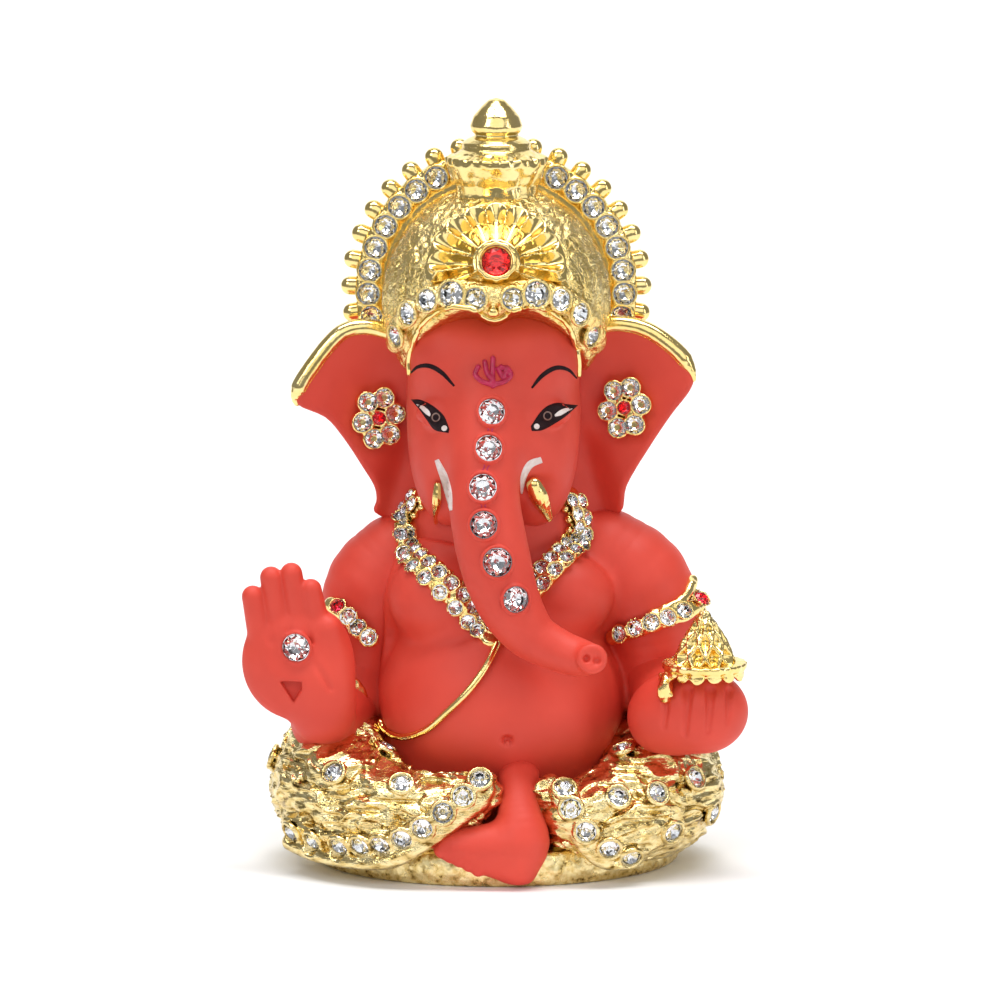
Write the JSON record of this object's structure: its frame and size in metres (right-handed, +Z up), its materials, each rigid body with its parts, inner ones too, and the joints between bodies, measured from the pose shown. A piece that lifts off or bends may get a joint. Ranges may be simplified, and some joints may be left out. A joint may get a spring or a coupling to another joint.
{
  "type": "seated elephant-headed idol",
  "caption": "Small seated elephant-headed devotional figure with tall crown, halo, raised palm, sweet dish and inset stones on an oval base.",
  "frame": {"origin": "centre of the figure's bounding box footprint, on the resting face under the base", "axes": "+Z up through the crown, -Y the way the figure faces, +X towards the hand with the sweet dish"},
  "size_m": [0.0518, 0.0328, 0.08],
  "materials": {
    "coral_paint": "matte",
    "gold_plate": "polished",
    "clear_crystal": "polished",
    "ruby_crystal": "polished",
    "magenta_paint": "satin"
  },
  "bodies": {
    "root": {"base": "gold_plate", "right_leg": "gold_plate", "left_leg": "gold_plate", "foot": "coral_paint", "torso": "coral_paint", "chest_drape": "coral_paint", "drape_border": "gold_plate", "head": "coral_paint", "tilak": "magenta_paint", "right_ear": "coral_paint", "left_ear": "coral_paint", "right_ear_rim": "gold_plate", "left_ear_rim": "gold_plate", "right_tusk": "gold_plate", "left_tusk": "gold_plate", "crown_dome": "gold_plate", "crown_trim": "gold_plate", "crown_sunburst": "gold_plate", "ruby_bezel": "gold_plate", "crown_halo": "gold_plate", "halo_beads": "gold_plate", "crown_finial": "gold_plate", "right_forearm": "coral_paint", "left_forearm": "coral_paint", "right_armlet": "gold_plate", "left_armlet": "gold_plate", "right_bracelet": "gold_plate", "modak_plate": "gold_plate", "modak": "gold_plate", "necklace": "gold_plate", "crown_ruby": "ruby_crystal", "crown_band_stones": "clear_crystal", "halo_stones": "clear_crystal", "trunk_stones": "clear_crystal", "necklace_stones": "clear_crystal", "palm_stone": "clear_crystal", "right_armlet_stones": "clear_crystal", "left_armlet_stones": "clear_crystal", "armlet_rubies": "ruby_crystal", "right_dhoti_stones": "clear_crystal", "left_dhoti_stones": "clear_crystal", "right_earring_setting": "gold_plate", "left_earring_setting": "gold_plate", "right_earring_stones": "clear_crystal", "left_earring_stones": "clear_crystal", "earring_rubies": "ruby_crystal"}
  },
  "joints": []
}
